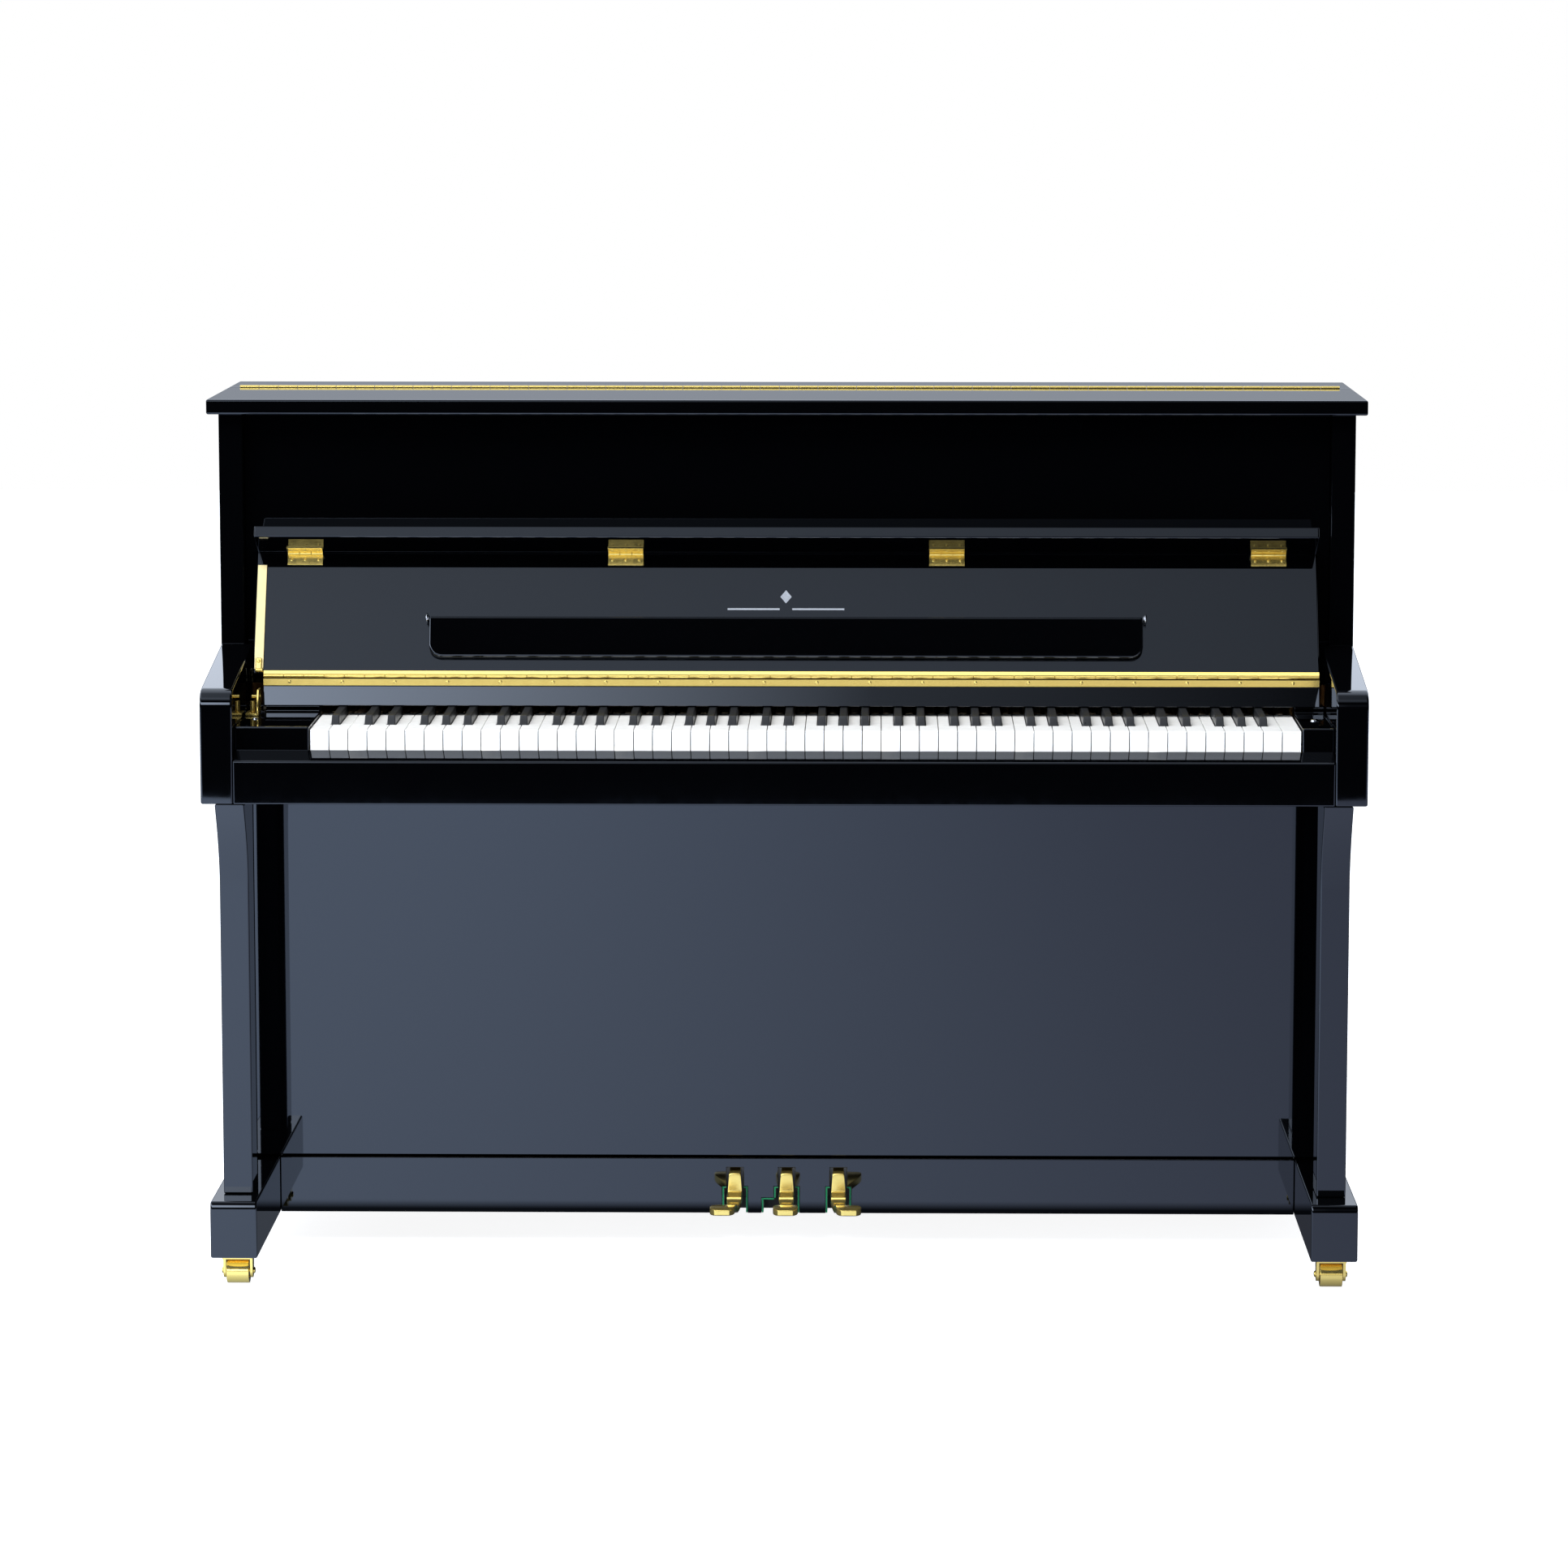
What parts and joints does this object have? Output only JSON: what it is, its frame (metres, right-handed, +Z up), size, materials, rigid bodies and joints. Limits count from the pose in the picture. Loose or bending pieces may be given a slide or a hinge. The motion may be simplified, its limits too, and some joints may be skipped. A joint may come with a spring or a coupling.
{
  "type": "upright piano",
  "caption": "Console upright piano in a black lacquered case, with hinged lid, fold-over fallboard, music shelf, brass pedals and casters.",
  "frame": {"origin": "on the floor under the middle of the piano's box", "axes": "+X to the player's right, +Y from the player towards the wall, +Z up"},
  "size_m": [1.468, 0.6, 1.104],
  "materials": {
    "black_lacquer": "wood panels under polished black polyester lacquer",
    "polished_brass": "polished and lacquered brass",
    "white_key": "smooth white acrylic key covers on wooden sticks",
    "black_key": "satin black sharps",
    "bare_wood": "planed beech and pine, unvarnished",
    "spruce_board": "clear varnished spruce",
    "bronzed_iron": "cast iron sprayed bronze gold",
    "hammer_felt": "pressed wool felt on beech rails",
    "green_felt": "green wool felt lining"
  },
  "bodies": {
    "root": {"side_left": "black_lacquer", "side_right": "black_lacquer", "arm_left": "black_lacquer", "arm_right": "black_lacquer", "leg_left": "black_lacquer", "leg_right": "black_lacquer", "toe_block_left": "black_lacquer", "toe_block_right": "black_lacquer", "key_bed": "black_lacquer", "key_slip": "black_lacquer", "key_block_left": "black_lacquer", "key_block_right": "black_lacquer", "name_board": "black_lacquer", "upper_panel": "black_lacquer", "lower_panel": "black_lacquer", "bottom_rail": "black_lacquer", "bottom_board": "bare_wood", "top_lid_rear": "black_lacquer", "top_lid_hinge": "polished_brass", "fallboard_hinge": "polished_brass", "slow_close_bracket": "polished_brass", "back_frame": "bare_wood", "soundboard": "spruce_board", "iron_plate": "bronzed_iron", "pin_block": "bare_wood", "action_frame": "bare_wood", "key_frame": "bare_wood"},
    "lid_flap": {"top_lid_front": "black_lacquer"},
    "fallboard": {"fallboard": "black_lacquer", "lip_hinge_1": "polished_brass", "lip_hinge_2": "polished_brass", "lip_hinge_3": "polished_brass", "lip_hinge_4": "polished_brass"},
    "fallboard_lip": {"fallboard_lip": "black_lacquer"},
    "music_shelf": {"music_shelf": "black_lacquer"},
    "pedal_left": {"pedal_left": "polished_brass"},
    "pedal_middle": {"pedal_middle": "polished_brass"},
    "pedal_right": {"pedal_right": "polished_brass"},
    "hammers": {"hammer_rail": "hammer_felt"},
    "dampers": {"damper_rail": "hammer_felt"},
    "muffler": {"muffler_rail": "hammer_felt"},
    "naturals_1": {"natural_keys_1": "white_key"},
    "naturals_2": {"natural_keys_2": "white_key"},
    "naturals_3": {"natural_keys_3": "white_key"},
    "naturals_4": {"natural_keys_4": "white_key"},
    "naturals_5": {"natural_keys_5": "white_key"},
    "naturals_6": {"natural_keys_6": "white_key"},
    "naturals_7": {"natural_keys_7": "white_key"},
    "sharps_1": {"sharp_keys_1": "black_key"},
    "sharps_2": {"sharp_keys_2": "black_key"},
    "sharps_3": {"sharp_keys_3": "black_key"},
    "sharps_4": {"sharp_keys_4": "black_key"},
    "caster_front_left": {"caster_fork_front_left": "polished_brass"},
    "wheel_front_left": {"caster_wheel_front_left": "polished_brass"},
    "caster_front_right": {"caster_fork_front_right": "polished_brass"},
    "wheel_front_right": {"caster_wheel_front_right": "polished_brass"},
    "caster_rear_left": {"caster_fork_rear_left": "polished_brass"},
    "wheel_rear_left": {"caster_wheel_rear_left": "polished_brass"},
    "caster_rear_right": {"caster_fork_rear_right": "polished_brass"},
    "wheel_rear_right": {"caster_wheel_rear_right": "polished_brass"}
  },
  "joints": [
    {"name": "lid_hinge", "type": "hinge", "parent": "root", "child": "lid_flap", "pos_m": [0, 0.169, 1.101], "axis": [-1, 0, 0], "range_deg": [0, 170]},
    {"name": "fallboard_hinge", "type": "hinge", "parent": "root", "child": "fallboard", "pos_m": [0, -0.1195, 0.754], "axis": [-1, 0, 0], "range_deg": [-121.5, 0]},
    {"name": "lip_hinge", "type": "hinge", "parent": "fallboard", "child": "fallboard_lip", "pos_m": [0, -0.0511, 0.90274], "axis": [1, 0, 0], "range_deg": [0, 90]},
    {"name": "music_shelf_pivot", "type": "hinge", "parent": "fallboard", "child": "music_shelf", "pos_m": [0, -0.08748, 0.82182], "axis": [-1, 0, 0], "range_deg": [0, 90]},
    {"name": "pedal_left_pivot", "type": "hinge", "parent": "root", "child": "pedal_left", "pos_m": [-0.067, 0.05, 0.091], "axis": [1, 0, 0], "range_deg": [0, 6], "stiffness_Nm_per_rad": 20, "springref_deg": -5.73},
    {"name": "pedal_middle_pivot", "type": "hinge", "parent": "root", "child": "pedal_middle", "pos_m": [0, 0.05, 0.091], "axis": [1, 0, 0], "range_deg": [0, 6], "stiffness_Nm_per_rad": 20, "springref_deg": -5.73},
    {"name": "pedal_right_pivot", "type": "hinge", "parent": "root", "child": "pedal_right", "pos_m": [0.067, 0.05, 0.091], "axis": [1, 0, 0], "range_deg": [0, 6], "stiffness_Nm_per_rad": 20, "springref_deg": -5.73},
    {"name": "hammer_rail_pivot", "type": "hinge", "parent": "root", "child": "hammers", "pos_m": [0, 0.111, 0.804], "axis": [-1, 0, 0], "range_deg": [0, 11]},
    {"name": "damper_rail_pivot", "type": "hinge", "parent": "root", "child": "dampers", "pos_m": [0, 0.149, 0.806], "axis": [1, 0, 0], "range_deg": [0, 4.5]},
    {"name": "muffler_drop", "type": "slide", "parent": "root", "child": "muffler", "axis": [0, 0, -1], "range_m": [0, 0.028]},
    {"name": "naturals_1_balance", "type": "hinge", "parent": "root", "child": "naturals_1", "pos_m": [0, -0.048, 0.68], "axis": [1, 0, 0], "range_deg": [0, 2.6], "stiffness_Nm_per_rad": 15, "springref_deg": -3.44},
    {"name": "naturals_2_balance", "type": "hinge", "parent": "root", "child": "naturals_2", "pos_m": [0, -0.048, 0.68], "axis": [1, 0, 0], "range_deg": [0, 2.6], "stiffness_Nm_per_rad": 15, "springref_deg": -3.44},
    {"name": "naturals_3_balance", "type": "hinge", "parent": "root", "child": "naturals_3", "pos_m": [0, -0.048, 0.68], "axis": [1, 0, 0], "range_deg": [0, 2.6], "stiffness_Nm_per_rad": 15, "springref_deg": -3.44},
    {"name": "naturals_4_balance", "type": "hinge", "parent": "root", "child": "naturals_4", "pos_m": [0, -0.048, 0.68], "axis": [1, 0, 0], "range_deg": [0, 2.6], "stiffness_Nm_per_rad": 15, "springref_deg": -3.44},
    {"name": "naturals_5_balance", "type": "hinge", "parent": "root", "child": "naturals_5", "pos_m": [0, -0.048, 0.68], "axis": [1, 0, 0], "range_deg": [0, 2.6], "stiffness_Nm_per_rad": 15, "springref_deg": -3.44},
    {"name": "naturals_6_balance", "type": "hinge", "parent": "root", "child": "naturals_6", "pos_m": [0, -0.048, 0.68], "axis": [1, 0, 0], "range_deg": [0, 2.6], "stiffness_Nm_per_rad": 15, "springref_deg": -3.44},
    {"name": "naturals_7_balance", "type": "hinge", "parent": "root", "child": "naturals_7", "pos_m": [0, -0.048, 0.68], "axis": [1, 0, 0], "range_deg": [0, 2.6], "stiffness_Nm_per_rad": 15, "springref_deg": -3.44},
    {"name": "sharps_1_balance", "type": "hinge", "parent": "root", "child": "sharps_1", "pos_m": [0, -0.048, 0.68], "axis": [1, 0, 0], "range_deg": [0, 2.6], "stiffness_Nm_per_rad": 15, "springref_deg": -3.44},
    {"name": "sharps_2_balance", "type": "hinge", "parent": "root", "child": "sharps_2", "pos_m": [0, -0.048, 0.68], "axis": [1, 0, 0], "range_deg": [0, 2.6], "stiffness_Nm_per_rad": 15, "springref_deg": -3.44},
    {"name": "sharps_3_balance", "type": "hinge", "parent": "root", "child": "sharps_3", "pos_m": [0, -0.048, 0.68], "axis": [1, 0, 0], "range_deg": [0, 2.6], "stiffness_Nm_per_rad": 15, "springref_deg": -3.44},
    {"name": "sharps_4_balance", "type": "hinge", "parent": "root", "child": "sharps_4", "pos_m": [0, -0.048, 0.68], "axis": [1, 0, 0], "range_deg": [0, 2.6], "stiffness_Nm_per_rad": 15, "springref_deg": -3.44},
    {"name": "caster_swivel_front_left", "type": "hinge", "parent": "root", "child": "caster_front_left", "pos_m": [-0.68615, -0.26, 0.0417], "axis": [0, 0, 1], "continuous": true},
    {"name": "wheel_roll_front_left", "type": "hinge", "parent": "caster_front_left", "child": "wheel_front_left", "pos_m": [-0.68615, -0.249, 0.016], "axis": [1, 0, 0], "continuous": true},
    {"name": "caster_swivel_front_right", "type": "hinge", "parent": "root", "child": "caster_front_right", "pos_m": [0.68615, -0.26, 0.0417], "axis": [0, 0, 1], "continuous": true},
    {"name": "wheel_roll_front_right", "type": "hinge", "parent": "caster_front_right", "child": "wheel_front_right", "pos_m": [0.68615, -0.249, 0.016], "axis": [1, 0, 0], "continuous": true},
    {"name": "caster_swivel_rear_left", "type": "hinge", "parent": "root", "child": "caster_rear_left", "pos_m": [-0.68615, 0.249, 0.0417], "axis": [0, 0, 1], "continuous": true},
    {"name": "wheel_roll_rear_left", "type": "hinge", "parent": "caster_rear_left", "child": "wheel_rear_left", "pos_m": [-0.68615, 0.26, 0.016], "axis": [1, 0, 0], "continuous": true},
    {"name": "caster_swivel_rear_right", "type": "hinge", "parent": "root", "child": "caster_rear_right", "pos_m": [0.68615, 0.249, 0.0417], "axis": [0, 0, 1], "continuous": true},
    {"name": "wheel_roll_rear_right", "type": "hinge", "parent": "caster_rear_right", "child": "wheel_rear_right", "pos_m": [0.68615, 0.26, 0.016], "axis": [1, 0, 0], "continuous": true}
  ],
  "couplings": [
    {"joint": "hammer_rail_pivot", "follows": "pedal_left_pivot", "ratio": 1.8333},
    {"joint": "damper_rail_pivot", "follows": "pedal_right_pivot", "ratio": 0.75},
    {"joint": "muffler_drop", "follows": "pedal_middle_pivot", "m_per_rad": 0.267}
  ]
}
